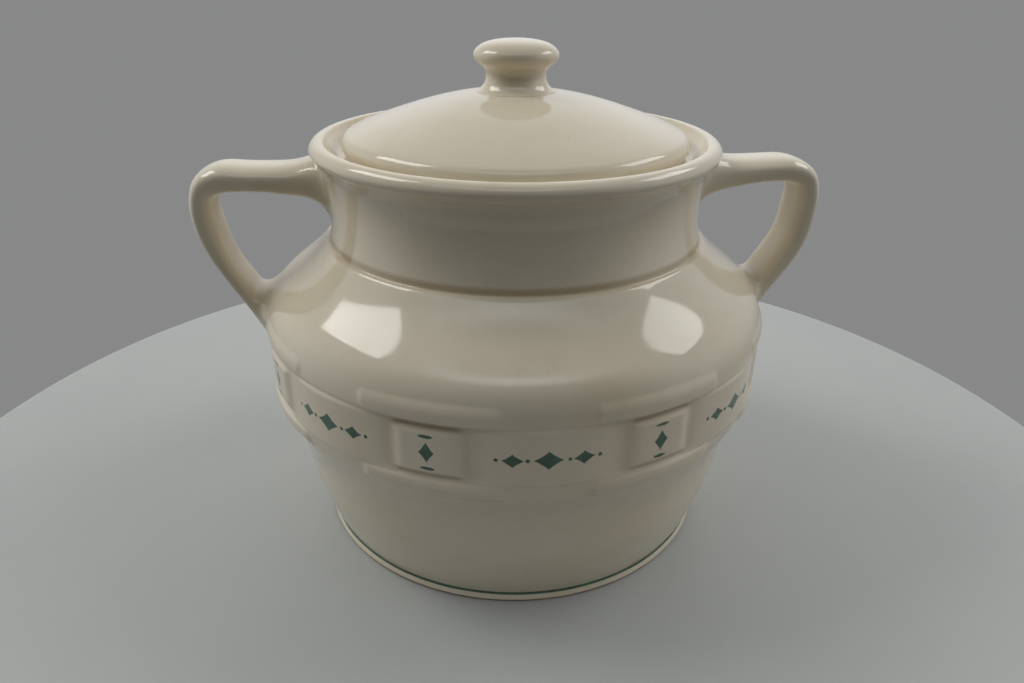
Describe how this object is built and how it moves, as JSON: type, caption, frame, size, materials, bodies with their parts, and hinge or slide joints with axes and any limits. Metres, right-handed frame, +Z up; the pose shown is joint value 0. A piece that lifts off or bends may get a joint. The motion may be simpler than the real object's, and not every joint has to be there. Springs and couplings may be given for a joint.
{
  "type": "cookie jar",
  "caption": "Bellied glazed stoneware cookie jar with a woven relief belt, strap handles and a domed lift-off lid with a mushroom knob.",
  "frame": {"origin": "centre of the foot ring, on the surface that the jar stands on", "axes": "+Z up through the knob, +X through the right handle, -Y out of the front, which is the middle of a wide panel of the belt"},
  "size_m": [0.3108, 0.2516, 0.24],
  "materials": {
    "glaze": "glossy ivory glaze over stoneware"
  },
  "bodies": {
    "jar": {"jar_body": "glaze", "handle_left": "glaze", "handle_right": "glaze"},
    "lid": {"lid": "glaze", "lid_knob": "glaze"}
  },
  "joints": [
    {"name": "lid_lift", "type": "slide", "parent": "jar", "child": "lid", "axis": [0, 0, 1], "range_m": [0, 0.12]}
  ]
}
